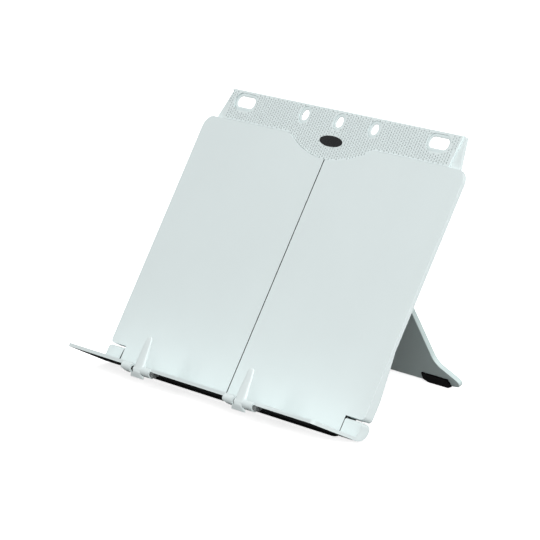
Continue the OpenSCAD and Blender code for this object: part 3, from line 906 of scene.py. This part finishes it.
def opening_rim(work, centre_x, straight, hole, outer):
    """A rim with a thin lip, closed all round."""
    profile = ((outer, TAB_FRONT), (outer, RIM_FRONT + RIM_EDGE), (outer - RIM_EDGE, RIM_FRONT),
               (hole + LIP_EDGE, RIM_FRONT), (hole, RIM_FRONT + LIP_EDGE), (hole, RIM_BACK),
               (LIP, RIM_BACK), (LIP, TAB_FRONT))
    loops = [[work.verts.new((x, depth, z)) for x, z in rim_outline(centre_x, straight, radius)]
             for radius, depth in profile]
    for low, high in zip(loops, loops[1:] + loops[:1]):
        bridge(work, low, high)


def opening_rims():
    """The rims of the three round holes and of the slots, in one piece."""
    work = bmesh.new()
    for place in (-1, 0, 1):
        opening_rim(work, place * HOLE_PITCH, 0.0, HOLE_R - RIM_WIDE, HOLE_R)
    for side in SIDES:
        opening_rim(work, side * SLOT_X, SLOT_L - SLOT_W, SLOT_W / 2 - RIM_WIDE,
                    SLOT_W / 2 - RIM_PLAY)
    mesh = smooth(closed_mesh(work, "opening_rims", panel_matrix(HEADER_X)))
    new_piece("opening_rims", mesh, RING_PLASTIC, "stand")


opening_rims()


# Camera, floor, backdrop and lights


def grey(tone):
    """A colour without hue."""
    return tone, tone, tone, 1


def add_camera():
    """The camera of the photograph."""
    data = bpy.data.cameras.new("camera")
    data.lens = CAMERA_LENS
    data.sensor_width = SENSOR
    data.clip_end = CAMERA_REACH
    camera = bpy.data.objects.new("camera", data)
    camera.location = CAMERA_AT
    camera.rotation_euler = CAMERA_TURN
    bpy.context.scene.collection.objects.link(camera)
    bpy.context.scene.camera = camera


def seen_directly(nodes, links):
    """1 for rays that come straight from the camera or through a reflection or clear surface."""
    path = nodes.new("ShaderNodeLightPath")
    mirror = nodes.new("ShaderNodeMath")
    mirror.operation = "MAXIMUM"
    direct = nodes.new("ShaderNodeMath")
    direct.operation = "MAXIMUM"
    links.new(path.outputs["Is Glossy Ray"], mirror.inputs[0])
    links.new(path.outputs["Is Transmission Ray"], mirror.inputs[1])
    links.new(mirror.outputs[0], direct.inputs[0])
    links.new(path.outputs["Is Camera Ray"], direct.inputs[1])
    return direct.outputs[0]


def seen_or_bounced(nodes, links, seen, bounced, out):
    """One shader where rays see a surface directly, and another one where light bounces from it."""
    mix = nodes.new("ShaderNodeMixShader")
    links.new(seen_directly(nodes, links), mix.inputs["Fac"])
    links.new(bounced.outputs[0], mix.inputs[1])
    links.new(seen.outputs[0], mix.inputs[2])
    links.new(mix.outputs[0], out.inputs["Surface"])


def diffuse(nodes, tone):
    """A matte grey shader."""
    shader = nodes.new("ShaderNodeBsdfDiffuse")
    shader.inputs["Color"].default_value = grey(tone)
    return shader


def studio_white(name):
    """White where it is seen, shaded near the object, and a dark surface for bounced light."""
    material = bpy.data.materials.new(name)
    material.use_nodes = True
    nodes = material.node_tree.nodes
    links = material.node_tree.links
    nodes.clear()
    out = nodes.new("ShaderNodeOutputMaterial")
    place = nodes.new("ShaderNodeTexCoord")
    reach = nodes.new("ShaderNodeVectorMath")
    reach.operation = "LENGTH"
    fade = node_of(material, "ShaderNodeMapRange", From_Min=FLOOR_NEAR, From_Max=FLOOR_FAR,
                   To_Min=FLOOR_GLOW, To_Max=1.0)
    glow = nodes.new("ShaderNodeEmission")
    seen = nodes.new("ShaderNodeAddShader")
    links.new(place.outputs["Object"], reach.inputs[0])
    links.new(reach.outputs["Value"], fade.inputs["Value"])
    links.new(fade.outputs["Result"], glow.inputs["Strength"])
    links.new(diffuse(nodes, FLOOR_TONE).outputs[0], seen.inputs[0])
    links.new(glow.outputs[0], seen.inputs[1])
    seen_or_bounced(nodes, links, seen, diffuse(nodes, FLOOR_BOUNCE), out)
    return material


def add_floor():
    """The floor under the stand."""
    work = bmesh.new()
    bmesh.ops.create_grid(work, x_segments=1, y_segments=1, size=FLOOR_HALF)
    mesh = bpy.data.meshes.new("floor")
    work.to_mesh(mesh)
    work.free()
    floor = bpy.data.objects.new("floor", mesh)
    bpy.context.scene.collection.objects.link(floor)
    wear(floor, studio_white("studio_floor"))


def background(nodes, strength):
    """A white shader for the world."""
    light = nodes.new("ShaderNodeBackground")
    light.inputs["Color"].default_value = grey(1)
    light.inputs["Strength"].default_value = strength
    return light


def add_world():
    """White where it is seen, and a soft light on the object."""
    world = bpy.data.worlds.new("studio")
    bpy.context.scene.world = world
    world.use_nodes = True
    nodes = world.node_tree.nodes
    nodes.clear()
    out = nodes.new("ShaderNodeOutputWorld")
    seen = background(nodes, 1.0)
    bounced = background(nodes, WORLD_LIGHT)
    seen_or_bounced(nodes, world.node_tree.links, seen, bounced, out)


def add_lamp(name, place, size, power):
    """A square lamp that is aimed at the middle of the stand."""
    data = bpy.data.lights.new(name, "AREA")
    data.shape = "SQUARE"
    data.size = size
    data.energy = power
    lamp = bpy.data.objects.new(name, data)
    lamp.location = place
    aim = Vector(LAMP_TARGET) - Vector(place)
    lamp.rotation_euler = aim.to_track_quat("-Z", "Y").to_euler()
    bpy.context.scene.collection.objects.link(lamp)


add_camera()
add_floor()
add_world()
for lamp in LAMPS:
    add_lamp(*lamp)

bpy.context.scene.view_settings.view_transform = "Standard"
